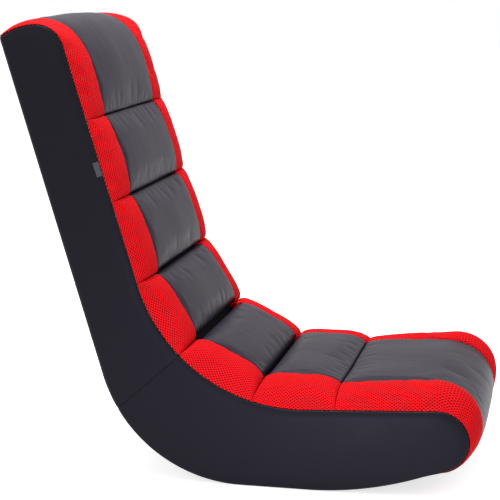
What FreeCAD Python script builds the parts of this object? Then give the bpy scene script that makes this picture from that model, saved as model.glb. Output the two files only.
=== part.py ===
import FreeCAD, Part
import math
import os

Vector = FreeCAD.Vector

# Gaming rocker chair: a one-piece upholstered floor rocker without legs.
# Millimetres. +X is the front, +Y the sitter's left, +Z up.
# The origin is the middle of the flat patch that the chair rests on.
# Two side outlines drive the model: the rocker line (underneath and behind)
# and the seat line (the seam between the side covers and the quilted face).

doc = FreeCAD.newDocument("rocker_chair")
sheet = doc.addObject("Spreadsheet::Sheet", "Sizes")

SIZES = [
    # widths
    ("overall_width", 415.0),
    ("centre_width", 270.0),
    # rocker line
    ("rest_flat", 100.0),
    ("elbow_radius", 222.2),
    ("elbow_turn", 73.4),
    ("back_line", 524.8),
    ("toe_radius", 488.8),
    ("toe_turn", 23.6),
    # seat line
    ("nose_start_angle", 2.8),
    ("nose_radius", 45.3),
    ("nose_turn", 180.1),
    ("bend_ahead", 95.54),
    ("bend_over_elbow", 29.4),
    ("back_taper", 0.5),
    ("lean_start_rise", 155.8),
    ("top_radius", 41.0),
    ("top_turn", 74.9),
    # channels, measured along the seat line
    ("nose_channel", 292.0),
    ("channel_pitch", 126.0),
    ("bend_channel", 129.6),
    # covers, padding and boards
    ("cover_thickness", 1.2),
    ("side_padding_thickness", 5.0),
    ("board_thickness", 3.0),
    ("seat_foam_thickness", 40.0),
    ("back_foam_thickness", 8.0),
    ("pan_thickness", 9.0),
    ("strap_thickness", 1.5),
    ("strap_width", 50.0),
    ("strap_gap", 2.0),
    ("elbow_seam_shift", 56.0),
    ("back_cover_margin", 2.7),
    # frame
    ("ply_thickness", 15.0),
    ("gusset_thickness", 12.0),
    ("gusset_reach", 75.0),
    ("gusset_inset", 6.0),
    ("rail_thickness", 20.0),
    ("rail_width", 40.0),
    ("nose_foam_thickness", 20.0),
    ("nose_block_depth", 150.0),
    ("top_block_thickness", 14.0),
    ("slot_length", 100.0),
    ("slot_width", 44.0),
    ("bolt_radius", 3.0),
    ("bolt_clearance", 0.3),
    ("bolt_head_radius", 6.5),
    ("bolt_head_height", 4.0),
    ("nut_flange_radius", 9.5),
    ("nut_flange_thickness", 1.5),
    ("nut_barrel_radius", 4.2),
    ("nut_barrel_length", 11.0),
    ("bolt_spread", 36.0),
    ("screw_radius", 2.0),
    ("screw_length", 40.0),
    ("screw_head_radius", 4.0),
    ("screw_clearance", 0.2),
    # quilted panels, as heights above the seat line
    ("crown", 3.0),
    ("edge_height", 1.6),
    ("seam_height_a", 8.0),
    ("seam_height_b", 9.0),
    ("seam_height_c", 13.0),
    ("seam_height_d", 14.0),
    ("seam_height_e", 22.0),
    ("seam_height_f", 23.0),
    ("channel_height_2", 18.5),
    ("channel_height_3", 20.5),
    ("channel_height_4", 29.0),
    ("channel_height_5", 33.0),
    ("channel_height_6", 37.0),
    ("nose_height", 28.0),
    ("nose_swell", 9.0),
    ("top_height", 14.2),
    # seam tag
    ("tag_height", 22.0),
    ("tag_width", 7.0),
    ("tag_thickness", 0.8),
    ("tag_station", 852.0),
]
for row, (alias, value) in enumerate(SIZES, start=1):
    sheet.set("A%d" % row, alias.replace("_", " "))
    sheet.set("B%d" % row, str(value))
    sheet.setAlias("B%d" % row, alias)
doc.recompute()


def size(alias):
    return float(sheet.get(alias))


def in_plane(x, z):
    return Vector(x, 0, z)


class Outline:
    """A side outline made of lines and arcs that meet smoothly."""

    def __init__(self, x, z, heading, inward):
        self.x, self.z, self.heading = x, z, math.radians(heading)
        self.inward = inward
        self.spans = []
        self.length = 0.0

    def line(self, length):
        self._add(length, 0.0)

    def arc(self, radius, turn):
        angle = math.radians(turn)
        self._add(radius * abs(angle), angle)

    def arc_to(self, x, z):
        dx, dz = x - self.x, z - self.z
        cross = math.cos(self.heading) * dz - math.sin(self.heading) * dx
        radius = (dx * dx + dz * dz) / (2 * cross)
        half = math.asin(min(1.0, math.hypot(dx, dz) / (2 * abs(radius))))
        self.arc(abs(radius), math.degrees(math.copysign(2 * half, radius)))

    def _add(self, length, angle):
        span = (self.length, length, self.x, self.z, self.heading, angle)
        self.spans.append(span)
        self.x, self.z, self.heading = self._walk(span, length)
        self.length += length

    def _walk(self, span, along):
        start, length, x, z, heading, angle = span
        if angle == 0:
            return x + along * math.cos(heading), z + along * math.sin(heading), heading
        radius = length / angle
        turned = heading + angle * along / length
        return (x + radius * (math.sin(turned) - math.sin(heading)),
                z - radius * (math.cos(turned) - math.cos(heading)), turned)

    def span_at(self, station):
        for span in self.spans:
            if station <= span[0] + span[1] + 1e-9:
                return span
        return self.spans[-1]

    def at(self, station, depth=0.0):
        """Point at a station, and depth millimetres inside the outline."""
        span = self.span_at(station)
        x, z, heading = self._walk(span, station - span[0])
        side = heading + self.inward * math.pi / 2
        return x + depth * math.cos(side), z + depth * math.sin(side)

    def heading_at(self, station):
        span = self.span_at(station)
        return self._walk(span, station - span[0])[2]

    def nearest(self, x, z):
        """Station of the outline's point that lies nearest to a given point."""
        low, high = 0.0, self.length
        best = min((low + (high - low) * k / 200 for k in range(201)),
                   key=lambda s: math.dist(self.at(s), (x, z)))
        step = self.length / 200
        for _ in range(40):
            best = min((best - step, best, best + step),
                       key=lambda s: math.dist(self.at(min(max(s, 0.0), self.length)), (x, z)))
            step *= 0.7
        return min(max(best, 0.0), self.length)

    def edges(self, first, last, depth=0.0):
        """Lines and arcs from one station to another, at one depth."""
        low, high = min(first, last), max(first, last)
        pieces = []
        for start, length, x, z, heading, angle in self.spans:
            a, b = max(low, start), min(high, start + length)
            if b - a < 1e-6:
                continue
            p, q = in_plane(*self.at_in(start, a, depth)), in_plane(*self.at_in(start, b, depth))
            if angle == 0:
                pieces.append((p, None, q))
            else:
                middle = in_plane(*self.at_in(start, (a + b) / 2, depth))
                pieces.append((p, middle, q))
        if first > last:
            pieces = [(q, m, p) for p, m, q in reversed(pieces)]
        return pieces

    def at_in(self, start, station, depth):
        span = next(s for s in self.spans if s[0] == start)
        x, z, heading = self._walk(span, station - start)
        side = heading + self.inward * math.pi / 2
        return x + depth * math.cos(side), z + depth * math.sin(side)


# The rocker line starts at the toe and runs under the seat and up the back.
def make_rocker_line():
    front = Outline(size("rest_flat") / 2, 0.0, 0.0, 1)
    front.arc(size("toe_radius"), size("toe_turn"))
    line = Outline(front.x, front.z, 180 + math.degrees(front.heading), -1)
    line.arc(size("toe_radius"), -size("toe_turn"))
    line.line(size("rest_flat"))
    line.arc(size("elbow_radius"), -size("elbow_turn"))
    line.line(size("back_line"))
    return line


# The seat line starts at the same toe corner, goes round the nose, along the
# seat, through the bend, up the back and over the top to the back corner.
# The bend starts ahead of the elbow, and the lean line follows the back line,
# so that the shell keeps its depth when the rocker line changes.
def make_seat_line(rocker):
    toe_x, toe_z = rocker.at(0.0)
    line = Outline(toe_x, toe_z, size("nose_start_angle"), 1)
    line.arc(size("nose_radius"), size("nose_turn"))
    bend_x = size("bend_ahead") - size("rest_flat") / 2
    line.line((bend_x - line.x) / math.cos(line.heading))
    lean_angle = 180 - size("elbow_turn") + size("back_taper")
    line.arc(size("elbow_radius") + size("bend_over_elbow"), lean_angle - math.degrees(line.heading))
    line.line(size("back_line") - size("lean_start_rise"))
    line.arc(size("top_radius"), size("top_turn"))
    line.arc_to(*rocker.at(rocker.length))
    return line


rocker = make_rocker_line()
seat = make_seat_line(rocker)

half_width = size("overall_width") / 2
half_centre = size("centre_width") / 2
inside_cover = half_width - size("cover_thickness")
frame_outer = inside_cover - size("side_padding_thickness")
frame_inner = frame_outer - size("ply_thickness")

# Seams across the quilted face, as stations on the seat line, from the toe.
pitch = size("channel_pitch")
seam_f = size("nose_channel")
seam_e = seam_f + pitch
seam_d = seam_e + size("bend_channel")
seam_c = seam_d + pitch
seam_b = seam_c + pitch
seam_a = seam_b + pitch

# Depths from the rocker line: the cover, then the board, then the frame.
under_cover = size("cover_thickness")
under_board = under_cover + size("board_thickness")
# Depths from the seat line.
back_foam = size("back_foam_thickness")
nose_foam = size("nose_foam_thickness")
seat_foam = size("seat_foam_thickness")
under_pan = seat_foam + size("pan_thickness")
under_strap = back_foam + size("strap_thickness")

nose_top = size("nose_radius") * math.radians(size("nose_turn"))
nose_back = nose_top + size("nose_block_depth") - size("nose_radius")
top_start = seat.length - seat.spans[-1][1] - seat.spans[-2][1]
elbow_notch = rocker.nearest(*seat.at(seam_d)) - size("elbow_seam_shift")
board_top = rocker.length - back_foam
top_block = back_foam + size("top_block_thickness")
block_foot = rocker.nearest(*seat.at(seat.length, top_block))


def beside(station):
    """Station of the rocker line that faces a station of the seat line."""
    return rocker.nearest(*seat.at(station))


def joined(*runs):
    """One closed loop from runs of pieces, with straight lines between them."""
    pieces = []
    for run in runs:
        for piece in run:
            if pieces and pieces[-1][2].distanceToPoint(piece[0]) > 1e-6:
                pieces.append((pieces[-1][2], None, piece[0]))
            pieces.append(piece)
    if pieces[-1][2].distanceToPoint(pieces[0][0]) > 1e-6:
        pieces.append((pieces[-1][2], None, pieces[0][0]))
    return pieces


def curves(pieces, flat=False):
    """Part curves for the pieces, in the XZ plane or in a sketch's own plane."""
    made = []
    for start, middle, end in pieces:
        points = [start, end] if middle is None else [start, middle, end]
        if flat:
            points = [Vector(p.x, p.z, 0) for p in points]
        made.append(Part.LineSegment(*points) if middle is None else Part.Arc(*points))
    return made


def origin_plane(body, role):
    return next(feature for feature in body.Origin.OriginFeatures if feature.Role == role)


def circle(x, z, radius):
    return Part.Circle(Vector(x, z, 0), Vector(0, 0, 1), radius)


def plate(name, pieces, thickness, outer_face, holes=()):
    """A flat or bent plate: a side outline drawn out along Y.

    thickness is an alias or expression for the width along Y, and outer_face
    an expression for the Y of the plate's left-hand face.
    """
    body = doc.addObject("PartDesign::Body", name)
    body.Label = name
    sketch = body.newObject("Sketcher::SketchObject", name + "_outline")
    sketch.AttachmentSupport = [(origin_plane(body, "XZ_Plane"), "")]
    sketch.MapMode = "FlatFace"
    for curve in curves(pieces, flat=True):
        sketch.addGeometry(curve, False)
    for hole in holes:
        for curve in hole:
            sketch.addGeometry(curve, False)
    pad = body.newObject("PartDesign::Pad", name + "_pad")
    pad.Profile = sketch
    pad.setExpression("Length", thickness)
    body.setExpression(".Placement.Base.y", outer_face)
    body.Tip = pad
    return body


def both_sides(name, pieces, thickness, outer_offset, holes=()):
    """The right-hand and left-hand copies of a side plate."""
    made = []
    width = "Sizes.overall_width / 2"
    made.append(plate(name + "_right", pieces, thickness,
                      "-(%s) + (%s) + (%s)" % (width, outer_offset, thickness), holes))
    made.append(plate(name + "_left", pieces, thickness,
                      "%s - (%s)" % (width, outer_offset), holes))
    return made


def across(name, pieces, offset):
    """A piece that runs across the chair and stays clear of both sides by offset."""
    return plate(name, pieces, "Sizes.overall_width - 2 * (%s)" % offset,
                 "Sizes.overall_width / 2 - (%s)" % offset)


def group(name, solids):
    """Like solids that share one node."""
    feature = doc.addObject("Part::Feature", name)
    feature.Label = name
    feature.Shape = solids[0] if len(solids) == 1 else Part.makeCompound(solids)
    feature.Placement = feature.Shape.Placement
    return feature


TO_COVER = "Sizes.cover_thickness"
TO_FRAME = "Sizes.cover_thickness + Sizes.side_padding_thickness"
TO_INSIDE = TO_FRAME + " + Sizes.ply_thickness"

parts = []


# Rails between the side frames, each a bar set square to the seat line, glued
# and held at both ends by a screw through the side board.
def rail_outline(station, depth):
    x, z = seat.at(station, depth)
    heading = seat.heading_at(station)
    run = Vector(math.cos(heading), 0, math.sin(heading)) * (size("rail_width") / 2)
    deep = Vector(-math.sin(heading), 0, math.cos(heading)) * size("rail_thickness")
    near = in_plane(x, z)
    corners = [near - run, near + run, near + run + deep, near - run + deep]
    return [(corners[k], None, corners[(k + 1) % 4]) for k in range(4)]


def screw_spots(station, depth):
    return [seat.at(station, depth + size("rail_thickness") / 2)]


behind_strap = under_strap + size("strap_gap")
back_rails = {
    "lumbar_rail": (seam_b - pitch * 0.1, behind_strap),
    "elbow_rail": (seam_d + pitch * 0.75, behind_strap),
}
seat_rails = {
    "seat_rear_rail": (seam_e + pitch * 0.1, under_pan),
    "seat_middle_rail": (seam_f, under_pan),
}
nose_screw_depth = nose_foam + size("rail_thickness") * 0.9
nose_spots = [seat.at(nose_top * 0.5, nose_screw_depth), seat.at(nose_back * 0.9, nose_screw_depth)]
back_spots = [spot for place in back_rails.values() for spot in screw_spots(*place)]
seat_spots = [spot for place in seat_rails.values() for spot in screw_spots(*place)] + nose_spots


# Elbow joint: where the back stile meets the seat side, a gusset on the inside
# of the two boards takes four bolts into flanged nuts set in the boards.
def elbow_bolt_places():
    places = []
    spread = size("bolt_spread")
    for along in (-spread, spread):
        top = seat.at(seam_d + along, under_pan)
        low = rocker.at(elbow_notch + along, under_board)
        for share in (0.25, 0.75):
            places.append((top[0] + (low[0] - top[0]) * share, top[1] + (low[1] - top[1]) * share))
    return places


bolt_places = elbow_bolt_places()
seat_bolts, back_bolts = bolt_places[:2], bolt_places[2:]
bolt_hole = size("bolt_radius") + size("bolt_clearance")
barrel_hole = size("nut_barrel_radius") + size("bolt_clearance")
screw_hole = size("screw_radius") + size("screw_clearance")


def circles(places, radius):
    return [[circle(x, z, radius)] for x, z in places]


def hexagons(places, radius):
    """Six-sided holes, as a punch leaves them in a thin padding sheet."""
    holes = []
    for x, z in places:
        ring = [Vector(x + radius * math.cos(math.pi / 3 * k), z + radius * math.sin(math.pi / 3 * k), 0)
                for k in range(7)]
        holes.append([Part.LineSegment(ring[k], ring[k + 1]) for k in range(6)])
    return holes


def frame_slot(station, upper_edge):
    """A rounded slot along the middle of a side board, which lightens it."""
    ax, az = seat.at(station, upper_edge)
    bx, bz = rocker.at(beside(station), under_board)
    centre = Vector((ax + bx) / 2, (az + bz) / 2, 0)
    heading = seat.heading_at(station)
    run = Vector(math.cos(heading), math.sin(heading), 0)
    side = Vector(-run.y, run.x, 0)
    half = (size("slot_length") - size("slot_width")) / 2
    radius = size("slot_width") / 2
    a, b = centre - run * half, centre + run * half
    return [Part.LineSegment(a + side * radius, b + side * radius),
            Part.Arc(b + side * radius, b + run * radius, b - side * radius),
            Part.LineSegment(b - side * radius, a - side * radius),
            Part.Arc(a - side * radius, a - run * radius, a + side * radius)]


# Plywood side frame, in two boards that butt at the elbow.
stile_outline = joined(seat.edges(seam_d, top_start, under_strap),
                       seat.edges(top_start, seat.length, top_block),
                       rocker.edges(block_foot, elbow_notch, under_board))
seat_side_outline = joined(seat.edges(0, nose_back, nose_foam),
                           seat.edges(nose_back, seam_d, under_pan),
                           rocker.edges(elbow_notch, 0, under_board))
stile_holes = [frame_slot(seam_c + pitch * step, under_strap) for step in (0.45, 1.35, 2.25)]
stile_holes += circles(back_bolts, barrel_hole) + circles(back_spots, screw_hole)
seat_holes = []
seat_holes += circles(seat_bolts, barrel_hole) + circles(seat_spots, screw_hole)
parts += both_sides("back_stile", stile_outline, "Sizes.ply_thickness", TO_FRAME, stile_holes)
parts += both_sides("seat_side", seat_side_outline, "Sizes.ply_thickness", TO_FRAME, seat_holes)

reach = size("gusset_reach")
inset = size("gusset_inset")
gusset_outline = joined(seat.edges(seam_d - reach, seam_d + reach, under_pan + inset),
                        rocker.edges(elbow_notch + reach, elbow_notch - reach, under_board + inset))
parts += both_sides("elbow_gusset", gusset_outline, "Sizes.gusset_thickness", TO_INSIDE,
                    circles(bolt_places, bolt_hole))


def along_y(x, y, z, radius, length, side):
    """A cylinder that starts at a Y on the right (-1) or left (1) and runs inwards."""
    return Part.makeCylinder(radius, length, Vector(x, side * y, z), Vector(0, -side, 0))


def hexagon(x, y, z, radius, length, side):
    """A six-sided bar that starts at a Y on one side and runs inwards."""
    angles = [math.pi / 3 * k for k in range(7)]
    ring = [Vector(x + radius * math.cos(a), side * y, z + radius * math.sin(a)) for a in angles]
    return Part.Face(Part.makePolygon(ring)).extrude(Vector(0, -side * length, 0))


def elbow_bolts():
    solids = []
    gusset_face = frame_inner - size("gusset_thickness")
    shank = size("gusset_thickness") + size("ply_thickness") - size("nut_flange_thickness")
    for side in (-1, 1):
        for x, z in bolt_places:
            head = hexagon(x, gusset_face, z, size("bolt_head_radius"), size("bolt_head_height"), side)
            stem = along_y(x, gusset_face + shank, z, size("bolt_radius"), shank, side)
            solids.append(head.fuse(stem).removeSplitter())
    return solids


def elbow_nuts():
    solids = []
    flange_size = size("nut_flange_thickness")
    barrel_size = size("nut_barrel_length")
    for side in (-1, 1):
        for x, z in bolt_places:
            flange = hexagon(x, frame_outer + flange_size, z, size("nut_flange_radius"), flange_size, side)
            barrel = along_y(x, frame_outer, z, size("nut_barrel_radius"), barrel_size, side)
            bore = along_y(x, frame_outer, z, bolt_hole, barrel_size, side)
            solids.append(flange.fuse(barrel).cut(bore).removeSplitter())
    return solids


parts.append(group("elbow_bolts", elbow_bolts()))
parts.append(group("elbow_nuts", elbow_nuts()))


def drilled_rail(name, pieces, spots):
    """A rail with a blind screw hole at each spot of both ends."""
    body = across(name, pieces, TO_INSIDE)
    for end, offset in (("left", "0"), ("right", "Sizes.overall_width - 2 * (%s)" % TO_INSIDE)):
        drill = body.newObject("Sketcher::SketchObject", "%s_%s_holes" % (name, end))
        drill.AttachmentSupport = [(origin_plane(body, "XZ_Plane"), "")]
        drill.MapMode = "FlatFace"
        drill.setExpression(".AttachmentOffset.Base.z", offset)
        for x, z in spots:
            drill.addGeometry(circle(x, z, screw_hole), False)
        doc.recompute()
        pocket = body.newObject("PartDesign::Pocket", "%s_%s_pilot" % (name, end))
        pocket.Profile = drill
        pocket.setExpression("Length", "Sizes.screw_length - Sizes.ply_thickness")
        pocket.Reversed = end == "left"
        solid_before = body.Shape.Volume
        doc.recompute()
        if body.Shape.Volume > solid_before - 1:
            raise RuntimeError("the screw holes of %s miss the rail" % name)
    return body


for rail_name, place in {**back_rails, **seat_rails}.items():
    parts.append(drilled_rail(rail_name, rail_outline(*place), screw_spots(*place)))

# Shaped blocks at the two ends: one inside the nose, one inside the top.
front_outline = joined(seat.edges(0, nose_back, nose_foam),
                       rocker.edges(beside(nose_back), 0, under_board))
top_outline = joined(seat.edges(top_start, seat.length, back_foam),
                     rocker.edges(board_top, block_foot, under_board),
                     seat.edges(seat.length, top_start, top_block))
parts.append(drilled_rail("front_rail", front_outline, nose_spots))
parts.append(across("top_rail", top_outline, TO_FRAME))


def frame_screws():
    solids = []
    head_size = size("screw_head_radius") - size("screw_radius")
    for side in (-1, 1):
        for x, z in back_spots + seat_spots:
            stem = along_y(x, frame_outer, z, size("screw_radius"), size("screw_length") - 1, side)
            head = hexagon(x, frame_outer + head_size, z, size("screw_head_radius"), head_size, side)
            solids.append(stem.fuse(head).removeSplitter())
    return solids


parts.append(group("frame_screws", frame_screws()))

# Bent plywood pan under the seat foam, and elastic straps across the back.
pan_outline = joined(seat.edges(nose_back, seam_d, seat_foam), seat.edges(seam_d, nose_back, under_pan))
parts.append(across("seat_pan", pan_outline, TO_FRAME))


def back_straps():
    solids = []
    for step in (0.25, 1.0, 1.75, 2.5):
        first = seam_d + pitch * step
        last = first + size("strap_width")
        loop = joined(seat.edges(first, last, back_foam), seat.edges(last, first, under_strap))
        wire = Part.Wire([curve.toShape() for curve in curves(loop)])
        strap = Part.Face(wire).extrude(Vector(0, 2 * frame_outer, 0))
        strap.translate(Vector(0, -frame_outer, 0))
        solids.append(strap)
    return solids


parts.append(group("back_straps", back_straps()))

# Boards that close the frame: hardboard under the seat, tack board behind.
skin_outline = joined(rocker.edges(0, elbow_notch, under_cover), rocker.edges(elbow_notch, 0, under_board))
back_board_outline = joined(rocker.edges(elbow_notch, board_top, under_cover),
                            rocker.edges(board_top, elbow_notch, under_board))
parts.append(across("rocker_skin", skin_outline, TO_COVER))
parts.append(across("back_board", back_board_outline, TO_COVER))

# Foam, as wide as the space between the side covers.
seat_foam_outline = joined(seat.edges(nose_back, seam_d), seat.edges(seam_d, nose_back, seat_foam))
nose_foam_outline = joined(seat.edges(0, nose_back), seat.edges(nose_back, 0, nose_foam))
back_foam_outline = joined(seat.edges(seam_d, seat.length), rocker.edges(rocker.length, board_top),
                           seat.edges(seat.length, seam_d, back_foam))
parts.append(across("seat_foam", seat_foam_outline, TO_COVER))
parts.append(across("nose_foam", nose_foam_outline, TO_COVER))
parts.append(across("back_foam", back_foam_outline, TO_COVER))

padding_outline = joined(seat.edges(0, nose_back, nose_foam),
                         seat.edges(nose_back, seam_d, seat_foam),
                         seat.edges(seam_d, seat.length, back_foam),
                         rocker.edges(board_top, 0, under_board))
nut_room = hexagons(bolt_places, size("nut_flange_radius") + size("bolt_clearance"))
screw_room = hexagons(back_spots + seat_spots, size("screw_head_radius") + size("bolt_clearance"))
parts += both_sides("side_padding", padding_outline, "Sizes.side_padding_thickness", TO_COVER,
                    nut_room + screw_room)

# Outer covers: two pieces on each side, sewn together at the elbow seam.
back_side_outline = joined(seat.edges(seam_d, seat.length), rocker.edges(rocker.length, elbow_notch))
seat_side_cover = joined(seat.edges(0, seam_d), rocker.edges(elbow_notch, 0))
parts += both_sides("side_cover_back", back_side_outline, "Sizes.cover_thickness", "0")
parts += both_sides("side_cover_seat", seat_side_cover, "Sizes.cover_thickness", "0")
bottom_cover_outline = joined(rocker.edges(0, elbow_notch), rocker.edges(elbow_notch, 0, under_cover))
cover_top = rocker.length - size("back_cover_margin")
back_cover_outline = joined(rocker.edges(elbow_notch, cover_top),
                            rocker.edges(cover_top, elbow_notch, under_cover))
parts.append(across("bottom_cover", bottom_cover_outline, TO_COVER))
parts.append(across("back_cover", back_cover_outline, TO_COVER))


# Quilted face: seven channels by three columns. Each panel is a cushion with
# its flat side on the seat line and a crown between the drawn-in seams.
# The heights above the seat line are given at shares of the way to the next
# seam. The first and last channels also wrap round the nose and over the top.
def pillow(first_seam, middle, last_seam):
    """Heights of a plain channel: full in the middle, steep at both seams."""
    heights = []
    for along in (0.0, 0.08, 0.2, 0.5, 0.8, 0.92, 1.0):
        level = first_seam + (last_seam - first_seam) * along
        fullness = 1 - abs(2 * along - 1) ** 3
        heights.append((along, level + (middle - (first_seam + last_seam) / 2) * fullness))
    return heights


def wrap(full_height, shares):
    """Heights of a channel that goes round a corner, as shares of its full height."""
    return [(along, full_height * share) for along, share in shares]


seam_heights = {letter: size("seam_height_" + letter) for letter in "abcdef"}
wrap_nose = wrap(size("nose_height"), ((0.0, 0.14), (0.07, 0.32), (0.14, 0.46), (0.23, 0.56), (0.32, 0.58),
                                       (0.4, 0.68), (0.49, 0.9), (0.66, 1.0), (0.84, 0.985), (0.94, 0.91)))
wrap_nose.append((1.0, seam_heights["f"]))
wrap_top = [(0.0, seam_heights["a"])]
wrap_top += wrap(size("top_height"), ((0.08, 0.78), (0.16, 0.9), (0.27, 1.0), (0.37, 0.91), (0.46, 0.66),
                                      (0.545, 0.29), (0.61, 0.2), (0.68, 0.23), (0.75, 0.45), (0.82, 0.6),
                                      (0.91, 0.58), (1.0, 0.28)))
CHANNELS = {
    7: (0.0, seam_f, wrap_nose),
    6: (seam_f, seam_e, pillow(seam_heights["f"], size("channel_height_6"), seam_heights["e"])),
    5: (seam_e, seam_d, pillow(seam_heights["e"], size("channel_height_5"), seam_heights["d"])),
    4: (seam_d, seam_c, pillow(seam_heights["d"], size("channel_height_4"), seam_heights["c"])),
    3: (seam_c, seam_b, pillow(seam_heights["c"], size("channel_height_3"), seam_heights["b"])),
    2: (seam_b, seam_a, pillow(seam_heights["b"], size("channel_height_2"), seam_heights["a"])),
    1: (seam_a, seat.length, wrap_top),
}


def panel_section(y, first, last, heights, share, swell):
    """The closed outline of a panel at one Y, its top a run of arcs."""
    edge = size("edge_height")
    top = []
    for along, height in heights:
        tall = edge + (height - edge) * share + swell * math.sin(math.pi * along)
        top.append(in_plane(*seat.at(first + (last - first) * along, -tall)))
    arcs = [(top[k], top[k + 1], top[k + 2]) for k in range(0, len(top) - 2, 2)]
    loop = joined(arcs, seat.edges(last, first))
    wire = Part.Wire([curve.toShape() for curve in curves(loop)])
    wire.translate(Vector(0, y, 0))
    return wire


def panel(name, channel, stops):
    """A panel through its sections: each stop is a Y, a share and a swell."""
    first, last, heights = CHANNELS[channel]
    wires = [panel_section(y, first, last, heights, share, swell) for y, share, swell in stops]
    return group(name, [Part.makeLoft(wires, True, False)])


strip = half_width - half_centre
crown = size("crown")
centre_stops = [(-half_centre, 1.0, 0), (-half_centre / 2, 1.0, crown * 0.7), (0, 1.0, crown),
                (half_centre / 2, 1.0, crown * 0.7), (half_centre, 1.0, 0)]
strip_stops = [(0.0, 1.0, 0.0), (0.3, 0.97, 0.8), (0.6, 0.8, 1.0), (0.85, 0.45, 0.6), (1.0, 0.06, 0.0)]
for channel in sorted(CHANNELS):
    parts.append(panel("centre_panel_%d" % channel, channel, centre_stops))
    swell = size("nose_swell") if channel == 7 else 0.0
    for side, word in ((-1, "right"), (1, "left")):
        stops = [(side * (half_centre + strip * out), share, swell * full) for out, share, full in strip_stops]
        parts.append(panel("mesh_panel_%d_%s" % (channel, word), channel, stops))


# Blank fabric tag, folded into the seam of the right-hand side.
def seam_tag():
    x, z = seat.at(size("tag_station"), 0)
    heading = math.degrees(seat.heading_at(size("tag_station")))
    tag = Part.makeBox(size("tag_height"), size("tag_thickness"), size("tag_width"),
                       Vector(-size("tag_height") / 2, -size("tag_thickness"), 0))
    tag.rotate(Vector(0, 0, 0), Vector(0, 1, 0), -heading)
    tag.translate(Vector(x, -half_width, z))
    return tag


parts.append(group("seam_tag", [seam_tag()]))

doc.recompute()
for item in doc.Objects:
    if "Invalid" in item.State or "Error" in item.State:
        raise RuntimeError("%s failed: %s" % (item.Name, item.State))
for item in parts:
    if item.Shape.isNull() or not item.Shape.isValid() or item.Shape.Volume <= 0:
        raise RuntimeError("%s has no valid shape" % item.Label)

os.makedirs("parts", exist_ok=True)
for item in parts:
    item.Shape.exportStep("parts/%s.step" % item.Label)
box = Part.makeCompound([item.Shape for item in parts]).BoundBox
print(len(parts), "nodes, box", round(box.XMin, 1), round(box.XMax, 1), round(box.YMin, 1),
      round(box.YMax, 1), round(box.ZMin, 1), round(box.ZMax, 1))
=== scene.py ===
import math

import bmesh
import bpy
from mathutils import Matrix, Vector, noise


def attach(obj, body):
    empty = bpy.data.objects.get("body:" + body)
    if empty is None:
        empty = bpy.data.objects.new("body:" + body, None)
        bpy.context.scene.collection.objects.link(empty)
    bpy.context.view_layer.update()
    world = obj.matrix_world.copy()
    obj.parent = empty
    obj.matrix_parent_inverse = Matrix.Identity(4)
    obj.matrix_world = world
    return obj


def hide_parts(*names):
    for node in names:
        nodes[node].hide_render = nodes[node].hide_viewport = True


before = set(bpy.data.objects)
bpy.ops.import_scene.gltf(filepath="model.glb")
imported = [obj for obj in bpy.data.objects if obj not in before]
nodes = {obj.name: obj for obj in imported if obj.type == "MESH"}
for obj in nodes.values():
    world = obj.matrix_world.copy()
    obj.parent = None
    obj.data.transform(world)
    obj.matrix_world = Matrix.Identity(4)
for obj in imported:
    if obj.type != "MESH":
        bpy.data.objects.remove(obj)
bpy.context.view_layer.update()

scene = bpy.context.scene

# Floor, light and camera. A plain pale floor in a soft white room, one broad
# lamp above the seat and three weaker ones on the side that faces the camera.
# The camera stands a little higher than the chair.
WHITE = (1, 1, 1, 1)
FLOOR_HALF, FLOOR_LEVEL = 12, -0.0004
LAMP_AIM = (-0.05, 0, 0.3)
CAMERA_PLACE = (0.4437, -2.3878, 0.7698)
CAMERA_DOWN, CAMERA_TURN = math.radians(10.42), math.radians(12.37)


def new_object(name, shape, finish):
    """Object in the scene from a bmesh, which is used up."""
    mesh = bpy.data.meshes.new(name)
    shape.to_mesh(mesh)
    shape.free()
    mesh.materials.append(finish)
    made = bpy.data.objects.new(name, mesh)
    scene.collection.objects.link(made)
    return made


def plug(node, inputs):
    """Gives inputs of a node, by name or number, a value or another node's output."""
    for key, given in inputs.items():
        if isinstance(given, bpy.types.NodeSocket):
            node.id_data.links.new(given, node.inputs[key])
        else:
            node.inputs[key].default_value = given


def node_maker(tree):
    """Function that adds a node of a kind to a tree, with its inputs and options."""
    def make(kind, inputs=None, **options):
        node = tree.nodes.new("ShaderNode" + kind)
        for option, value in options.items():
            setattr(node, option, value)
        plug(node, inputs or {})
        return node
    return make


def new_finish(name):
    """A new material, the maker of its nodes, and its surface."""
    finish = bpy.data.materials.new(name)
    finish.use_nodes = True
    tree = finish.node_tree
    return finish, node_maker(tree), tree.nodes["Principled BSDF"]


def seen_rays(make):
    """1 for what the eye sees, straight or by way of metal or glass, else 0."""
    path = make("LightPath").outputs
    seen = path["Is Camera Ray"]
    for kind in ("Is Glossy Ray", "Is Transmission Ray"):
        seen = make("Math", {0: seen, 1: path[kind]}, operation="MAXIMUM").outputs[0]
    return seen


floor_finish, make, surface = new_finish("pale_floor")
plug(surface, {"Base Color": (0.8, 0.8, 0.8, 1), "Roughness": 0.9, "Specular IOR Level": 0.1})
glow = make("Emission", {"Color": WHITE, "Strength": 0.7})
no_glow = make("Emission", {"Strength": 0})
seen_glow = make("MixShader", {"Fac": seen_rays(make), 1: no_glow.outputs[0], 2: glow.outputs[0]})
lit_and_seen = make("AddShader", {0: surface.outputs[0], 1: seen_glow.outputs[0]})
plug(floor_finish.node_tree.nodes["Material Output"], {"Surface": lit_and_seen.outputs[0]})

floor_shape = bmesh.new()
bmesh.ops.create_grid(floor_shape, x_segments=1, y_segments=1, size=FLOOR_HALF)
bmesh.ops.translate(floor_shape, verts=floor_shape.verts, vec=(0, 0, FLOOR_LEVEL))
new_object("floor", floor_shape, floor_finish)

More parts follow.
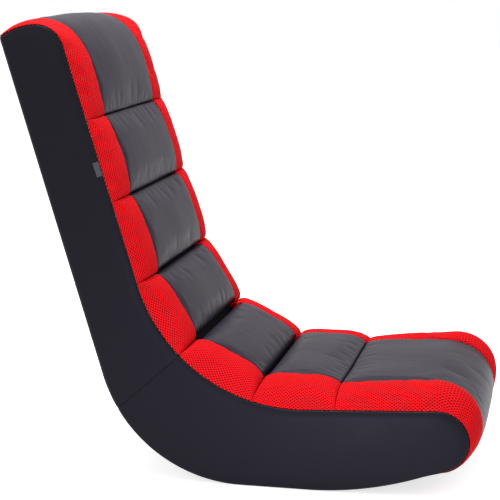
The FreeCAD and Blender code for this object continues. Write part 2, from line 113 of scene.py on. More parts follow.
room = bpy.data.worlds.new("white_room")
room.use_nodes = True
make = node_maker(room.node_tree)
room_light = room.node_tree.nodes["Background"]
plug(room_light, {"Color": WHITE, "Strength": 0.62})
room_back = make("Background", {"Color": WHITE, "Strength": 1.0})
room_mix = make("MixShader", {"Fac": seen_rays(make), 1: room_light.outputs[0],
                              2: room_back.outputs[0]})
plug(room.node_tree.nodes["World Output"], {"Surface": room_mix.outputs[0]})
scene.world = room

for name, place, power, width, tint in (
    ("lamp_front", (1.6, -0.9, 1.9), 8, 1.6, (1, 1, 1)),
    ("lamp_side", (-0.9, -2.6, 1.5), 12, 1.8, (1, 1, 1)),
    ("lamp_above", (-0.3, 0.2, 2.4), 50, 1.2, (1, 1, 1)),
    ("lamp_low", (0.06, -0.86, 0.06), 2.0, 0.14, (0.68, 0.66, 1)),
):
    light = bpy.data.lights.new(name, "AREA")
    light.energy = power
    light.size = width
    light.color = tint
    lamp = bpy.data.objects.new(name, light)
    lamp.location = place
    aim = Vector(LAMP_AIM) - Vector(place)
    lamp.rotation_euler = aim.to_track_quat("-Z", "Y").to_euler()
    scene.collection.objects.link(lamp)

camera_data = bpy.data.cameras.new("camera")
camera_data.sensor_width = 36
camera_data.lens = 112.4
camera = bpy.data.objects.new("camera", camera_data)
camera.location = CAMERA_PLACE
camera.rotation_euler = (math.pi / 2 - CAMERA_DOWN, 0, CAMERA_TURN)
scene.collection.objects.link(camera)
scene.camera = camera
scene.view_settings.view_transform = "Standard"

# Quilted centre. Seven channels of black faux leather over padding, four on the
# back and three on the seat; the first wraps over the top, the last round the
# nose. Cross seams draw them in and leave a dark gap, widest in the bend.

# The seat line is the side outline from the toe round the nose, along the seat
# and over the top: a heading in degrees, and runs of a length and a turn each.
TOE = (0.24569, 0.04088)
SEAT = (2.8, ((0.14239, 180.1), (0.1959, 0), (0.33286, -75.8), (0.369, 0), (0.0536, 74.9),
              (0.05994, 32.91)))
SEAT_LENGTH = sum(run for run, turn in SEAT[1])
HALF_CENTRE = 0.135
SEAMS = (0.0, 0.292, 0.418, 0.5476, 0.6736, 0.7996, 0.9256, SEAT_LENGTH)
SEAM_GAPS = (0.0, 0.0008, 0.006, 0.0115, 0.0046, 0.0026, 0.0012, 0.0)
CHANNELS = {7 - k: (SEAMS[k], SEAMS[k + 1]) for k in range(7)}
GAPS = {7 - k: (SEAM_GAPS[k], SEAM_GAPS[k + 1]) for k in range(7)}

# Heights above the seat line: at the front, in the middle and at the back of a
# plain channel, and for a wrapped one the full height and a table of its shares.
PILLOWS = {
    6: (0.025, 0.0385, 0.0235),
    5: (0.0235, 0.036, 0.0175),
    4: (0.0165, 0.0305, 0.0145),
    3: (0.0145, 0.0215, 0.010),
    2: (0.009, 0.0178, 0.008),
}
WRAPS = {
    7: (0.0285, ((0.0, 0.14), (0.07, 0.27), (0.14, 0.37), (0.23, 0.48), (0.32, 0.57), (0.4, 0.70),
                 (0.49, 0.91), (0.58, 0.99), (0.66, 1.0), (0.84, 0.985), (0.94, 0.93),
                 (1.0, 0.86))),
    1: (0.0145, ((0.0, 0.56), (0.08, 0.8), (0.16, 0.92), (0.27, 1.0), (0.37, 0.93), (0.46, 0.68),
                 (0.545, 0.29), (0.61, 0.2), (0.68, 0.23), (0.75, 0.47), (0.82, 0.64), (0.91, 0.6),
                 (1.0, 0.28))),
}
SHOULDERS = {7: (0.002, 0.0032), 6: (0.0032, 0.007), 5: (0.007, 0.009), 4: (0.008, 0.006),
             3: (0.006, 0.005), 2: (0.005, 0.004), 1: (0.004, 0.002)}

# A pad: half its gap to the next one, its underside above the seat line, how
# far its rows and columns crowd towards the seams, and the faces up its walls.
STITCH, PAD_FLOOR = 0.0002, 0.0012
ROW_CROWD, COLUMN_CROWD = 0.6, 0.45
WALL_FACES = 3
WIDTH_STEPS = 40
SWELL_FRAMES, PRESSURE = 20, 2.0

# A centre panel: the size of its faces, its crown, and how it is drawn down at
# the long seams, puckers along the cross seams and folds where the nose bends.
CENTRE_CELL = 0.0045
CROWN, TOP_CROWN = 0.0028, 0.005
LONG_SEAM_DRAW, LONG_SEAM_REACH = 0.0022, 0.006
PUCKER, PUCKER_REACH = 0.0012, 0.014
SLACK = 0.0012
BEND_FOLD, BEND_STATION, BEND_REACH = 0.0013, 0.125, 0.045
LEAST_HEIGHT = 0.002


def srgb(red, green, blue):
    """Linear colour from 0 to 255 screen values."""
    values = []
    for level in (red, green, blue):
        share = level / 255
        values.append(share / 12.92 if share <= 0.04045 else ((share + 0.055) / 1.055) ** 2.4)
    return (*values, 1.0)


def soft_skin(name, colour, dark, roughness, specular, grain=1100.0, drawn=False):
    """Faux leather or cloth: fine grain, faint shades and, when drawn, folds along it."""
    finish, make, surface = new_finish(name)
    place = make("TexCoord").outputs["Object"]
    cloud = make("TexNoise", {"Scale": 7.0, "Detail": 3.0, "Vector": place})
    pebble = make("TexVoronoi", {"Scale": grain, "Vector": place})
    fine = make("TexNoise", {"Scale": grain * 0.6, "Detail": 3.0, "Vector": place})
    if drawn:
        cloth = make("UVMap", uv_map="cloth").outputs[0]
        pull, handle_scale, handle_depth = (0.12, 1.0, 1.0), 110.0, 0.0009
    else:
        cloth = place
        pull, handle_scale, handle_depth = (1.0, 1.0, 1.0), 40.0, 0.0003
    folds = make("Mapping", {"Scale": pull, "Vector": cloth})
    handle = make("TexNoise", {"Scale": handle_scale, "Detail": 3.0, "Vector": folds.outputs[0]})
    shade = make("MapRange", {"From Min": 0.2, "From Max": 0.8, "Value": cloud.outputs["Fac"]})
    tint = make("Mix", {0: shade.outputs[0], 6: dark, 7: colour}, data_type="RGBA")
    rough = make("MapRange", {"From Min": 0.3, "From Max": 0.7, "To Min": roughness - 0.02,
                              "To Max": roughness + 0.03, "Value": handle.outputs["Fac"]})
    relief = make("Math", {0: pebble.outputs["Distance"], 1: fine.outputs["Fac"]}, operation="ADD")
    bump = make("Bump", {"Strength": 0.3, "Distance": 0.0002, "Height": relief.outputs[0]})
    wave = make("Bump", {"Strength": 0.25, "Distance": handle_depth,
                         "Height": handle.outputs["Fac"], "Normal": bump.outputs[0]})
    plug(surface, {"Base Color": tint.outputs[2], "Roughness": rough.outputs[0],
                   "Normal": wave.outputs[0], "Specular IOR Level": specular})
    return finish


def add_piece(name, shape, finish):
    """Smooth object from a bmesh, riding on the chair's one body."""
    piece = new_object(name, shape, finish)
    piece.data.shade_smooth()
    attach(piece, "root")
    return piece


def on_line(line, station, out=0.0):
    """X and Z at a station along a side line, and out metres outside the chair."""
    x, z = TOE
    heading = math.radians(line[0])
    left = station
    for run, turn in line[1]:
        step = min(left, run)
        angle = math.radians(turn) * step / run
        if turn:
            radius = run / math.radians(turn)
            x += radius * (math.sin(heading + angle) - math.sin(heading))
            z -= radius * (math.cos(heading + angle) - math.cos(heading))
        else:
            x += step * math.cos(heading)
            z += step * math.sin(heading)
        heading += angle
        left -= step
        if left <= 0:
            break
    side = heading + (-math.pi / 2 if line is SEAT else math.pi / 2)
    return x + out * math.cos(side), z + out * math.sin(side)


def clamp(value, low=0.0, high=1.0):
    return min(max(value, low), high)


def between(table, share):
    """Smooth value at a share along a table of (share, value)."""
    last = len(table) - 1
    k = max(i for i in range(last) if table[i][0] <= share)
    (x0, y0), (x1, y1) = table[k], table[k + 1]
    before, after = table[max(k - 1, 0)], table[min(k + 2, last)]
    rise0 = (y1 - before[1]) / (x1 - before[0])
    rise1 = (after[1] - y0) / (after[0] - x0)
    width = x1 - x0
    t = (share - x0) / width
    return ((2 * t ** 3 - 3 * t ** 2 + 1) * y0 + (t ** 3 - 2 * t ** 2 + t) * width * rise0
            + (3 * t ** 2 - 2 * t ** 3) * y1 + (t ** 3 - t ** 2) * width * rise1)


def roll(distance, reach):
    """From 1 at a seam to 0 at reach, with the round shoulder of a stuffed edge."""
    left = 1 - clamp(distance / reach)
    return 1 - math.sqrt(1 - left ** 2)


def even(place, crowd):
    """Share from a grid place of -0.5 to 0.5, with the rows closer at both ends."""
    share = clamp(place + 0.5)
    return share - crowd * math.sin(2 * math.pi * share) / (2 * math.pi)


def channel_height(channel, station, gaps):
    """Height of a channel above the seat line, before its crown."""
    first, last = CHANNELS[channel]
    share = clamp((station - first) / (last - first))
    if channel in WRAPS:
        full, shares = WRAPS[channel]
        height = full * between(shares, share)
    else:
        low, middle, high = PILLOWS[channel]
        height = low + (high - low) * share
        height += (middle - (low + high) / 2) * (1 - abs(2 * share - 1) ** 3)
    for distance, gap, shoulder in ((station - first, gaps[0], SHOULDERS[channel][0]),
                                    (last - station, gaps[1], SHOULDERS[channel][1])):
        height -= shoulder * roll(distance - gap / 2, shoulder)
    return height


def cushion(name, channel, inner, outer, gaps, height, cell, finish):
    """Closed pad between four seams, height(station, across, y) above the seat line."""
    first, last = CHANNELS[channel]
    first, last = first + gaps[0] / 2 + STITCH, last - gaps[1] / 2 - STITCH
    rows, columns = round((last - first) / cell), round(abs(outer - inner) / cell)
    shape = bmesh.new()
    along = shape.verts.layers.float.new("along")
    across = shape.verts.layers.float.new("across")
    sewn = shape.verts.layers.float.new("sewn")

    # Points in levels from the underside to the top; the levels between run round
    # the seams alone. Their order is fixed, so every run gives the same cloth.
    points = {}
    for level in range(WALL_FACES + 1):
        for i in range(rows + 1):
            for j in range(columns + 1):
                at_seam = i in (0, rows) or j in (0, columns)
                if not at_seam and level not in (0, WALL_FACES):
                    continue
                station = first + (last - first) * even(i / rows - 0.5, ROW_CROWD)
                share = even(j / columns - 0.5, COLUMN_CROWD)
                y = inner + (outer - inner) * share
                rise = PAD_FLOOR
                if level:
                    rise += (height(station, share, y) - PAD_FLOOR) * level / WALL_FACES
                x, z = on_line(SEAT, station, rise)
                point = points[i, j, level] = shape.verts.new((x, y, z))
                point[along], point[across] = station, share
                point[sewn] = 0.0 if level == WALL_FACES and not at_seam else 1.0
    for i in range(rows):
        for j in range(columns):
            ring = [(i, j), (i + 1, j), (i + 1, j + 1), (i, j + 1)]
            shape.faces.new([points[place + (WALL_FACES,)] for place in ring])
            shape.faces.new([points[place + (0,)] for place in reversed(ring)])
    rim = ([(i, 0) for i in range(rows)] + [(rows, j) for j in range(columns)]
           + [(i, columns) for i in range(rows, 0, -1)] + [(0, j) for j in range(columns, 0, -1)])
    for one, other in zip(rim, rim[1:] + rim[:1]):
        for level in range(WALL_FACES):
            shape.faces.new([points[one + (level,)], points[other + (level,)],
                             points[other + (level + 1,)], points[one + (level + 1,)]])

    # The cloth's UV is in metres: along the seat line, and across over the crown.
    cloth = shape.loops.layers.uv.new("cloth")
    widths, middle, step = [0.0], (first + last) / 2, (outer - inner) / WIDTH_STEPS
    for k in range(WIDTH_STEPS):
        near, far = (height(middle, j / WIDTH_STEPS, inner + (outer - inner) * j / WIDTH_STEPS)
                     for j in (k, k + 1))
        widths.append(widths[-1] + math.hypot(step, far - near))
    for face in shape.faces:
        for corner in face.loops:
            spot = corner.vert[across] * WIDTH_STEPS
            k = min(int(spot), WIDTH_STEPS - 1)
            wide = widths[k] + (widths[k + 1] - widths[k]) * (spot - k)
            corner[cloth].uv = (corner.vert[along], wide)
    bmesh.ops.recalc_face_normals(shape, faces=shape.faces)
    return add_piece(name, shape, finish)


def swell(pad, growth, travel):
    """Blows the pad up as cloth, held along its seams, by travel metres at most."""
    mesh = pad.data
    group = pad.vertex_groups.new(name="sewn")
    held = [k for k, point in enumerate(mesh.attributes["sewn"].data) if point.value > 0]
    group.add(held, 1.0, "REPLACE")
    start = [vert.co.copy() for vert in mesh.vertices]
    cloth = pad.modifiers.new("swell", "CLOTH")
    cloth.settings.vertex_group_mass = "sewn"
    cloth.settings.quality = 6
    cloth.settings.use_pressure = True
    cloth.settings.uniform_pressure_force = PRESSURE
    cloth.settings.shrink_min = -growth
    cloth.settings.tension_stiffness = cloth.settings.compression_stiffness = 20
    cloth.settings.bending_stiffness = 0.6
    cloth.settings.effector_weights.gravity = 0
    cloth.collision_settings.use_collision = False
    for number in range(1, SWELL_FRAMES + 1):
        scene.frame_set(number)
    swollen = pad.evaluated_get(bpy.context.evaluated_depsgraph_get()).data
    moved = [vert.co.copy() for vert in swollen.vertices]
    pad.modifiers.remove(cloth)
    for vert, old, new in zip(mesh.vertices, start, moved):
        shift = new - old
        if shift.length > travel:
            shift *= travel / shift.length
        vert.co = old + shift
    pad.vertex_groups.clear()
    scene.frame_set(1)


def finish_pad(pad, node):
    """Smooths the pad and puts it in the place of its CAD node."""
    smooth = pad.modifiers.new("fine", "SUBSURF")
    smooth.levels = smooth.render_levels = 1
    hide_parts(node)


def ripple(across, along, seed):
    """Smooth unevenness from about -1 to 1 at a place that is counted in waves."""
    return noise.noise(Vector((across, along, seed)))


def centre_height(channel):
    """height(station, across, y) of one centre panel."""
    first, last = CHANNELS[channel]

    def height(station, across, y):
        share = (station - first) / (last - first)
        level = channel_height(channel, station, GAPS[channel])
        crown = TOP_CROWN if channel == 1 else CROWN
        level += crown * (1 - (2 * across - 1) ** 2) * math.sin(math.pi * share) ** 0.8
        level -= LONG_SEAM_DRAW * roll(HALF_CENTRE - abs(y), LONG_SEAM_REACH)
        near = math.exp(-min(station - first, last - station) / PUCKER_REACH)
        level += PUCKER * near * ripple(y * 75, station * 12, channel)
        level += SLACK * ripple(y * 12, station * 10, channel + 20)
        if channel == 7:
            bend = math.exp(-((station - BEND_STATION) / BEND_REACH) ** 2)
            bend *= 0.35 + (y / HALF_CENTRE) ** 2
            level += BEND_FOLD * bend * ripple(y * 16, station * 80 + y * 60, 3)
        return max(level, LEAST_HEIGHT)
    return height


centre_leather = soft_skin("centre_leather", srgb(42, 37, 49), srgb(39, 34, 46), 0.42, 0.1,
                           drawn=True)
for channel in CHANNELS:
    node = "centre_panel_%d" % channel
    pad = cushion("quilted_" + node, channel, -HALF_CENTRE + STITCH, HALF_CENTRE - STITCH,
                  GAPS[channel], centre_height(channel), CENTRE_CELL, centre_leather)
    swell(pad, growth=0.0035, travel=0.0022)
    finish_pad(pad, node)

# Cross seams. A tape of black cloth under each cross seam takes the stitches
# of the two channels; its near-black is painted shade at the floor of the gap.
TAPE_LAP, TAPE_LEVEL, TAPE_INSET, TAPE_THICK = 0.012, 0.0006, 0.001, 0.0008


def give_thickness(piece, thickness, offset):
    """Thickens a sheet, inward at an offset of -1 and to both sides at 0."""
    thick = piece.modifiers.new("thickness", "SOLIDIFY")
    thick.thickness = thickness
    thick.offset = offset


# The tape's near-black colour is painted shade for the deep crease between two channels.
tape_painted_shade = soft_skin("seam_tape_painted_shade", srgb(10, 10, 11), srgb(7, 7, 8), 0.8, 0.05)
tape = bmesh.new()
for channel in range(2, 8):
    seam = CHANNELS[channel][1]
    strip = bmesh.ops.create_grid(tape, x_segments=6, y_segments=24, size=0.5)["verts"]
    for vert in strip:
        x, z = on_line(SEAT, seam + vert.co.x * (GAPS[channel][1] + TAPE_LAP), TAPE_LEVEL)
        vert.co = (x, vert.co.y * 2 * (HALF_CENTRE - TAPE_INSET), z)
bmesh.ops.recalc_face_normals(tape, faces=tape.faces)
tapes = add_piece("cross_seam_shadow_tapes", tape, tape_painted_shade)
give_thickness(tapes, TAPE_THICK, 0)

# Mesh edges. A strip of red spacer mesh over padding runs down each side of
# the centre, sewn to it and to the side cover, and gathered a little at every
# cross seam. Its holes stand in a staggered grid.
HOLE_PITCH_ALONG, HOLE_PITCH_ACROSS = 0.0031, 0.0024
HALF_WIDTH, SIDE_INSET = 0.2075, 0.0035
SIDE_SEAM = HALF_WIDTH - SIDE_INSET
NO_GAP = (0.0, 0.0)
STRIP_CELL = 0.0036
STRIP_FLOOR, LEAST_STRIP = 0.0016, 0.0014
FULLNESS, NOSE_FULLNESS, NOSE_SHARE = 2.6, 0.8, 0.42
NOSE_BULGE = ((0.0, 0.0), (0.12, 0.0), (0.2, 0.001), (0.28, 0.0065), (0.36, 0.0115),
              (0.46, 0.0115), (0.6, 0.0075), (0.75, 0.004), (0.9, 0.001), (1.0, 0.0))
INNER_DRAW, INNER_REACH = 0.0012, 0.005
GATHER, GATHER_REACH, GATHER_PITCH = 0.0014, 0.012, 0.0125
STRIP_SLACK = 0.0007

red_mesh, make, surface = new_finish("red_spacer_mesh")
split = make("SeparateXYZ", {0: make("UVMap", uv_map="cloth").outputs[0]})
waves = []
for axis, pitch in (("X", HOLE_PITCH_ALONG), ("Y", HOLE_PITCH_ACROSS)):
    turned = make("Math", {0: split.outputs[axis], 1: math.pi / pitch}, operation="MULTIPLY")
    waves.append(make("Math", {0: turned.outputs[0]}, operation="COSINE").outputs[0])
weave = make("Math", {0: waves[0], 1: waves[1]}, operation="MULTIPLY")
hole_and_painted_shade = make("MapRange", {"From Min": 0.05, "From Max": 0.7, "Value": weave.outputs[0]},
            interpolation_type="SMOOTHSTEP")
place = make("TexCoord").outputs["Object"]
cloud = make("TexNoise", {"Scale": 30.0, "Detail": 2.0, "Vector": place})
yarn = make("Mix", {0: cloud.outputs["Fac"], 6: srgb(230, 20, 28), 7: srgb(222, 16, 24)},
            data_type="RGBA")
# The holes are the mesh's real pattern; the dark red in them is painted shade in their depth.
tint = make("Mix", {0: hole_and_painted_shade.outputs[0], 6: yarn.outputs[2], 7: srgb(45, 0, 2)}, data_type="RGBA")
depth = make("Math", {0: 1.0, 1: hole_and_painted_shade.outputs[0]}, operation="SUBTRACT")
holes_bump = make("Bump", {"Strength": 0.7, "Distance": 0.0006, "Height": depth.outputs[0]})
plug(surface, {"Base Color": tint.outputs[2], "Normal": holes_bump.outputs[0], "Roughness": 0.85,
               "Specular IOR Level": 0.07})


def strip_height(channel):
    """height(station, across, y) of one mesh panel, across from the centre outward."""
    first, last = CHANNELS[channel]

    def height(station, across, y):
        share = (station - first) / (last - first)
        out = clamp(across)
        level = channel_height(channel, station, NO_GAP)
        fullness = FULLNESS
        if channel == 7:
            fullness = NOSE_FULLNESS
            fullness += (FULLNESS - NOSE_FULLNESS) * clamp(share / NOSE_SHARE) ** 4
        fall = (1 - out ** fullness) ** 0.7
        level = STRIP_FLOOR + (level - STRIP_FLOOR) * fall
        if channel == 7:
            level += between(NOSE_BULGE, clamp(share)) * math.sin(math.pi * out)
        level -= INNER_DRAW * roll(abs(y) - HALF_CENTRE, INNER_REACH)
        near = math.exp(-min(station - first, last - station) / GATHER_REACH)
        level += GATHER * near * fall * math.sin(y * 2 * math.pi / GATHER_PITCH + channel)
        level += STRIP_SLACK * ripple(y * 22, station * 14, channel + 40)
        return max(level, LEAST_STRIP)
    return height


for channel in CHANNELS:
    for side, word in ((-1, "right"), (1, "left")):
        node = "mesh_panel_%d_%s" % (channel, word)
        pad = cushion("quilted_" + node, channel, side * (HALF_CENTRE + STITCH), side * SIDE_SEAM,
                      NO_GAP, strip_height(channel), STRIP_CELL, red_mesh)
        swell(pad, growth=0.012, travel=0.0015)
        finish_pad(pad, node)

# Side covers. Plain black faux leather over a thin padding sheet, in a seat
# piece and a back piece that are sewn together at the elbow. The padding
# rounds their upper and lower edges.

# The rocker line runs from the toe under the seat and up the back.
ROCKER = (203.6, ((0.20134, -23.6), (0.1, 0), (0.28465, -73.4), (0.5248, 0)))
ROCKER_LENGTH = sum(run for run, turn in ROCKER[1])
ELBOW_ON_SEAT, ELBOW_ON_ROCKER = CHANNELS[5][1], 0.530
COVER_THICK = 0.0012
SIDE_CLEAR, SIDE_BELLY = 0.0012, 0.0014
UPPER_ROUND, UPPER_DROP = 0.020, 0.005
LOWER_ROUND, LOWER_DROP = 0.007, 0.004
SEAM_ROUND, SEAM_DROP = 0.003, 0.0002
MOST_DROP = 0.0052
LOWER_LAP = 0.0015


def side_face(down, wide, long):
    """How far a side cover stands from the chair's middle: down is the share of the way
    from the seat line to the rocker line, wide its metres, long those to the seam."""
    out = SIDE_CLEAR + SIDE_BELLY * math.sin(math.pi * down)
    drop = UPPER_DROP * roll(down * wide, UPPER_ROUND)
    drop += LOWER_DROP * roll((1 - down) * wide, LOWER_ROUND)
    return HALF_WIDTH + out - min(drop + SEAM_DROP * roll(long, SEAM_ROUND), MOST_DROP)


def side_cover(name, side, seat_run, rocker_run, seam_first):
    """One piece of a side cover between two runs; its elbow seam is first or last."""
    shape = bmesh.new()
    bmesh.ops.create_grid(shape, x_segments=170, y_segments=40, size=0.5)
    for vert in shape.verts:
        t = even(vert.co.x, 0.3)
        down = 0.5 - 0.5 * math.cos(math.pi * clamp(vert.co.y + 0.5))
        seat_x, seat_z = on_line(SEAT, seat_run[0] + (seat_run[1] - seat_run[0]) * t)
        rock_x, rock_z = on_line(ROCKER, rocker_run[0] + (rocker_run[1] - rocker_run[0]) * t,
                                 -LOWER_LAP)
        x, z = seat_x + (rock_x - seat_x) * down, seat_z + (rock_z - seat_z) * down
        wide = math.hypot(rock_x - seat_x, rock_z - seat_z)
        long = (seat_run[1] - seat_run[0]) * (t if seam_first else 1 - t)
        vert.co = (x, side * side_face(down, wide, long), z)
    bmesh.ops.recalc_face_normals(shape, faces=shape.faces)
    if sum(face.normal.y * face.calc_area() for face in shape.faces) * side < 0:
        bmesh.ops.reverse_faces(shape, faces=shape.faces)
    area = sum(face.calc_area() for face in shape.faces)
    piece = add_piece("sewn_" + name, shape, side_leather)
    give_thickness(piece, COVER_THICK, -1)
    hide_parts(name)


side_leather = soft_skin("side_leather", srgb(20, 18, 27), srgb(19, 17, 25), 0.42, 0.1)
for side, word in ((-1, "right"), (1, "left")):
    side_cover("side_cover_seat_" + word, side, (0.0, ELBOW_ON_SEAT), (0.0, ELBOW_ON_ROCKER),
               seam_first=False)
    side_cover("side_cover_back_" + word, side, (ELBOW_ON_SEAT, SEAT_LENGTH),
               (ELBOW_ON_ROCKER, ROCKER_LENGTH), seam_first=True)

# Back and bottom covers. One plain sheet of the same faux leather up the back
# and one under the rocker, turned up at both edges and sewn to the side covers
# all along, and to each other at the elbow.
EDGE_TURN = 0.004
END_DRAW, END_REACH = 0.0008, 0.004
BACK_BELLY = 0.0015


def under_cover(name, first, last, belly, finish):
    """Sheet along the rocker line from first to last, belly metres full."""
    shape = bmesh.new()
    bmesh.ops.create_grid(shape, x_segments=120, y_segments=64, size=0.5)
    flat_half = HALF_WIDTH - EDGE_TURN
    reach = flat_half + EDGE_TURN * math.pi / 2
    for vert in shape.verts:
        station = first + (last - first) * even(vert.co.x, 0.0)
        spread = reach * math.sin(math.pi * clamp(vert.co.y, -0.5, 0.5))
        past = max(abs(spread) - flat_half, 0.0) / EDGE_TURN
        y = math.copysign(min(abs(spread), flat_half) + EDGE_TURN * math.sin(past), spread)
        full = math.sin(math.pi * (station - first) / (last - first))
        out = belly * full * (1 - (y / HALF_WIDTH) ** 4)
        out -= EDGE_TURN * (1 - math.cos(past))
        out -= END_DRAW * roll(min(station - first, last - station), END_REACH)
        x, z = on_line(ROCKER, station, out)
        vert.co = (x, y, z)
    bmesh.ops.recalc_face_normals(shape, faces=shape.faces)
    if sum((face.normal.z + face.normal.x) * face.calc_area() for face in shape.faces) > 0:
        bmesh.ops.reverse_faces(shape, faces=shape.faces)
    piece = add_piece("sewn_" + name, shape, finish)
    give_thickness(piece, COVER_THICK, -1)
    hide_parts(name)


back_leather = soft_skin("back_leather", srgb(22, 20, 26), srgb(20, 18, 24), 0.45, 0.1)
# The bottom cover is the same faux leather as the back, painted far darker: painted shade for the
# underside that faces the floor.
bottom_leather_painted_shade = soft_skin("bottom_leather_painted_shade", srgb(9, 8, 10), srgb(7, 6, 8), 0.5, 0.05)
under_cover("bottom_cover", 0.0, ELBOW_ON_ROCKER, 0.0, bottom_leather_painted_shade)
under_cover("back_cover", ELBOW_ON_ROCKER, ROCKER_LENGTH, BACK_BELLY, back_leather)

# Seam tag. A blank woven label, folded in two with both ends in the right-hand
# side seam. It lies against the side cover.
TAG_STATION, TAG_LONG, TAG_WIDE = 0.852, 0.022, 0.007
TAG_FOLD, TAG_THICK, TAG_CLEAR = 0.0003, 0.0003, 0.0009
TAG_CURL, TAG_WAVE = 0.0006, 0.0002
COVER_WIDE = 0.15

tag_cloth = soft_skin("tag_cloth", srgb(74, 74, 80), srgb(64, 64, 70), 0.6, 0.2, grain=2500.0)
fold_long = math.pi * TAG_FOLD
tag = bmesh.new()
bmesh.ops.create_grid(tag, x_segments=14, y_segments=24, size=0.5)
for vert in tag.verts:
    station = TAG_STATION + vert.co.x * TAG_LONG
    past = (2 * TAG_WIDE + fold_long) * (0.5 + 4 * vert.co.y ** 3) - TAG_WIDE
    turn = clamp(past / TAG_FOLD, 0.0, math.pi)
    down = TAG_WIDE + min(past, 0.0) + TAG_FOLD * math.sin(turn) - max(past - fold_long, 0.0)
    x, z = on_line(SEAT, station, -down)
    curl = TAG_CURL * (down / TAG_WIDE) ** 2 + TAG_WAVE * math.sin(vert.co.x * 5)
    layer = TAG_CLEAR + TAG_FOLD * math.cos(turn) + curl
    vert.co = (x, -(side_face(down / COVER_WIDE, COVER_WIDE, 1.0) + layer), z)
bmesh.ops.recalc_face_normals(tag, faces=tag.faces)
tag_area = sum(face.calc_area() for face in tag.faces)
label = add_piece("blank_seam_tag", tag, tag_cloth)
give_thickness(label, TAG_THICK, 0)
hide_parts("seam_tag")

# Foam and padding. Blocks of open foam inside the shell and a thin sheet on
# each side board, trimmed back from the seams so that the covers close over
# them.
SEAM_POINTS = 600
SEAM_NEAR, FACE_BAND = 0.004, 0.0025
FACE_TRIM, BACK_TRIM = 0.011, 0.003
FOAM_TRIM, FOAM_WIDTH = 0.002, 0.975

foam, make, surface = new_finish("open_foam")
place = make("TexCoord").outputs["Object"]
pores = make("TexVoronoi", {"Scale": 900.0, "Vector": place})
patch = make("TexNoise", {"Scale": 15.0, "Vector": place})
tint = make("Mix", {0: patch.outputs["Fac"], 6: srgb(222, 214, 190), 7: srgb(208, 198, 170)},
            data_type="RGBA")
pits = make("Bump", {"Strength": 0.6, "Distance": 0.0006, "Height": pores.outputs["Distance"]})
plug(surface, {"Base Color": tint.outputs[2], "Normal": pits.outputs[0], "Roughness": 0.95})

sewn_edge = []
for line, length in ((ROCKER, ROCKER_LENGTH), (SEAT, SEAT_LENGTH)):
    for k in range(SEAM_POINTS):
        station = length * k / (SEAM_POINTS - 1)
        edge, beyond = (Vector(on_line(line, station, out)) for out in (0.0, 1.0))
        sewn_edge.append((edge, edge - beyond))

for node in ("seat_foam", "nose_foam", "back_foam", "side_padding_right", "side_padding_left"):
    block = bmesh.new()
    block.from_mesh(nodes[node].data)
    bmesh.ops.remove_doubles(block, verts=block.verts, dist=0.00002)
    bmesh.ops.dissolve_limit(block, angle_limit=0.01, verts=block.verts, edges=block.edges)
    bmesh.ops.recalc_face_normals(block, faces=block.faces)
    block.normal_update()
    for vert in block.verts:
        if node.startswith("side_padding"):
            far, inward = min((((edge - vert.co.xz).length, inward) for edge, inward in sewn_edge),
                              key=lambda found: found[0])
            if far < SEAM_NEAR:
                at_face = abs(vert.co.y) > HALF_WIDTH - FACE_BAND
                vert.co.xz += inward * (FACE_TRIM if at_face else BACK_TRIM)
        else:
            vert.co -= vert.normal * FOAM_TRIM
            vert.co.y *= FOAM_WIDTH
    bmesh.ops.triangulate(block, faces=block.faces)
    piece = add_piece("cut_" + node, block, foam)
    piece.data.shade_flat()
    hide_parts(node)

# Frame and fittings. Two plywood side frames with gussets, timber rails, a bent
# plywood seat pan, a hardboard rocker skin, a pressed back board, black elastic
# straps and zinc-plated bolts, nuts and screws, all inside the covers.


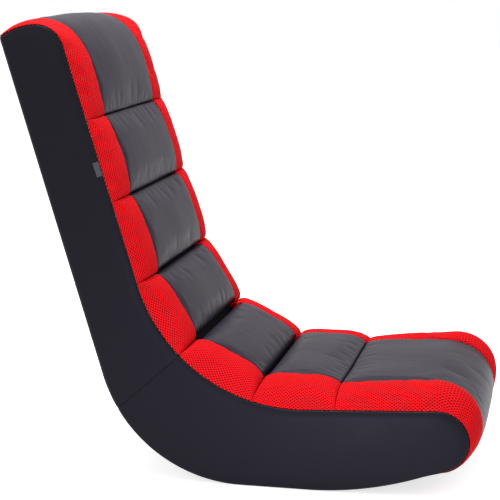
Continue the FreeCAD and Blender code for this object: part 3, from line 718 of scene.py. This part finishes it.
def worked_board(name, light, dark, stretch, grain, roughness, relief, metal=0.0):
    """Wood, board, webbing or plated steel: streaks or flecks of one direction."""
    finish, make, surface = new_finish(name)
    place = make("TexCoord").outputs["Object"]
    along = make("Mapping", {"Scale": stretch, "Vector": place})
    streak = make("TexNoise", {"Scale": grain, "Detail": 5.0, "Distortion": 0.4,
                               "Vector": along.outputs[0]})
    cloud = make("TexNoise", {"Scale": 9.0, "Detail": 2.0, "Vector": place})
    shade = make("MapRange", {"From Min": 0.35, "From Max": 0.65, "Value": streak.outputs["Fac"]})
    tone = make("Mix", {0: shade.outputs[0], 6: light, 7: dark}, data_type="RGBA")
    worn = make("Mix", {0: 0.25, 6: tone.outputs[2], 7: (0.8, 0.76, 0.7, 1)}, data_type="RGBA",
                blend_type="MULTIPLY")
    patch = make("Mix", {0: cloud.outputs["Fac"], 6: tone.outputs[2], 7: worn.outputs[2]},
                 data_type="RGBA")
    rough = make("MapRange", {"To Min": roughness - 0.07, "To Max": roughness + 0.07,
                              "Value": streak.outputs["Fac"]})
    bump = make("Bump", {"Strength": 0.4, "Distance": relief, "Height": streak.outputs["Fac"]})
    plug(surface, {"Base Color": patch.outputs[2], "Roughness": rough.outputs[0],
                   "Normal": bump.outputs[0], "Metallic": metal})
    return finish


plywood = worked_board("birch_plywood", srgb(226, 200, 160), srgb(196, 160, 112), (2, 30, 16), 12,
                       0.6, 0.0003)
timber = worked_board("pine_timber", srgb(222, 188, 138), srgb(184, 138, 84), (18, 1.2, 18), 9,
                      0.65, 0.0004)
hardboard = worked_board("hardboard_sheet", srgb(122, 84, 54), srgb(92, 60, 38), (1, 1, 1), 420,
                         0.55, 0.0001)
board_card = worked_board("back_board_card", srgb(186, 162, 128), srgb(158, 134, 102), (1, 1, 1),
                          260, 0.85, 0.0002)
plated = worked_board("zinc_plate", srgb(206, 206, 198), srgb(172, 172, 160), (1, 1, 1), 60, 0.35,
                      0.00005, 1.0)
webbing = worked_board("elastic_webbing", srgb(46, 46, 48), srgb(20, 20, 22), (12, 1, 12), 260,
                       0.85, 0.0004)
for finish, names in {
    plywood: ("back_stile_left", "back_stile_right", "seat_side_left", "seat_side_right",
              "elbow_gusset_left", "elbow_gusset_right", "seat_pan"),
    timber: ("elbow_rail", "front_rail", "lumbar_rail", "seat_middle_rail", "seat_rear_rail",
             "top_rail"),
    hardboard: ("rocker_skin",),
    board_card: ("back_board",),
    plated: ("elbow_bolts", "elbow_nuts", "frame_screws"),
    webbing: ("back_straps",),
}.items():
    for node in names:
        nodes[node].material_slots[0].material = finish
